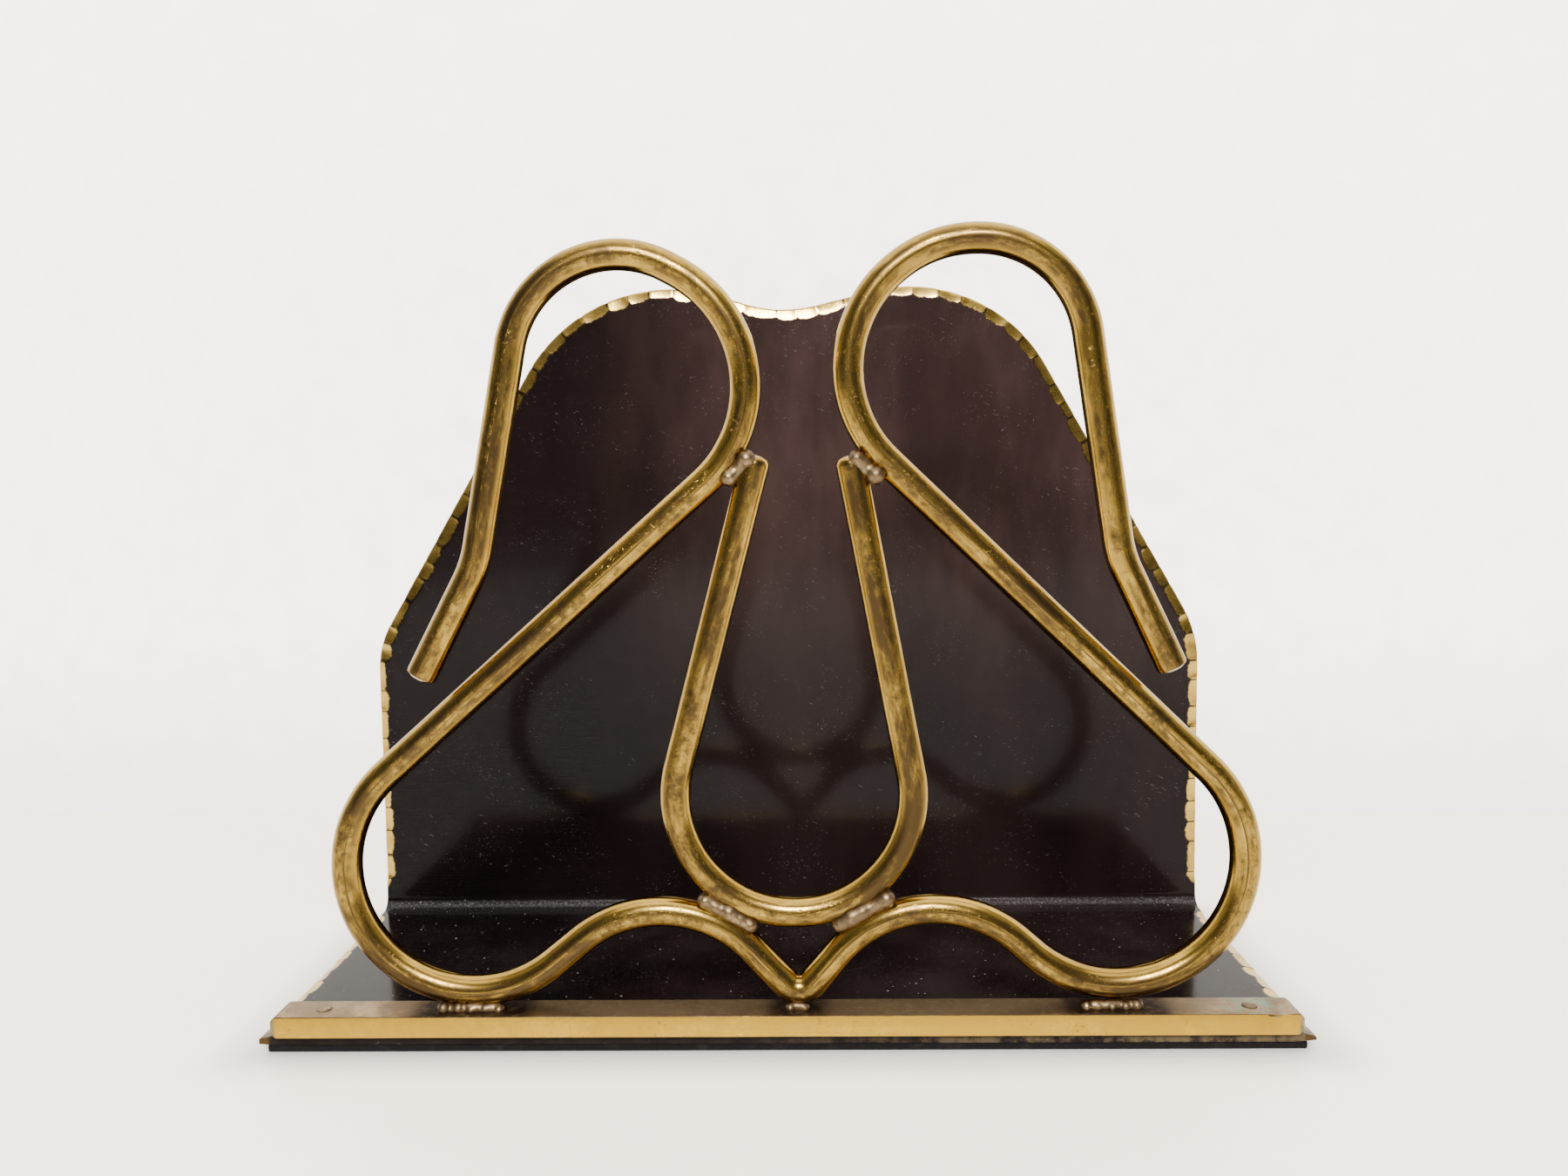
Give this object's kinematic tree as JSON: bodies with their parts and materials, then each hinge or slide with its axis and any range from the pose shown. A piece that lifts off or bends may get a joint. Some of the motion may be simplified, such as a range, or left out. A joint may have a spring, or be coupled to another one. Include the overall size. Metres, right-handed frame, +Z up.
{
  "type": "magazine rack",
  "caption": "Desk rack for magazines and letters: a bent sheet with hammered edges, a rail along its front and a front of bent round rod.",
  "frame": {"origin": "centre of the footprint, on the surface that the rack stands on", "axes": "+Z up; +X to the viewer's right along the rail; the rod front faces -Y and the back plate is at +Y"},
  "size_m": [0.17, 0.0648, 0.1311],
  "materials": {
    "dark_lacquer": "near-black brown lacquer over brass, glossy, edges hammered bare",
    "rail_brass": "satin brass, tarnished on top",
    "aged_brass": "polished brass with brown tarnish",
    "braze_filler": "pinkish grey brazing filler, lumpy",
    "black_felt": "matt black felt"
  },
  "bodies": {
    "root": {"formed_sheet": "dark_lacquer", "base_rail": "rail_brass", "scroll_rod": "aged_brass", "tongue_rod": "aged_brass", "rail_rivet_left": "aged_brass", "rail_rivet_right": "aged_brass", "felt_pad": "black_felt", "braze_tongue_top_left": "braze_filler", "braze_tongue_top_right": "braze_filler", "braze_tongue_foot_left": "braze_filler", "braze_tongue_foot_right": "braze_filler", "braze_rail_left": "braze_filler", "braze_rail_centre": "braze_filler", "braze_rail_right": "braze_filler"}
  },
  "joints": []
}
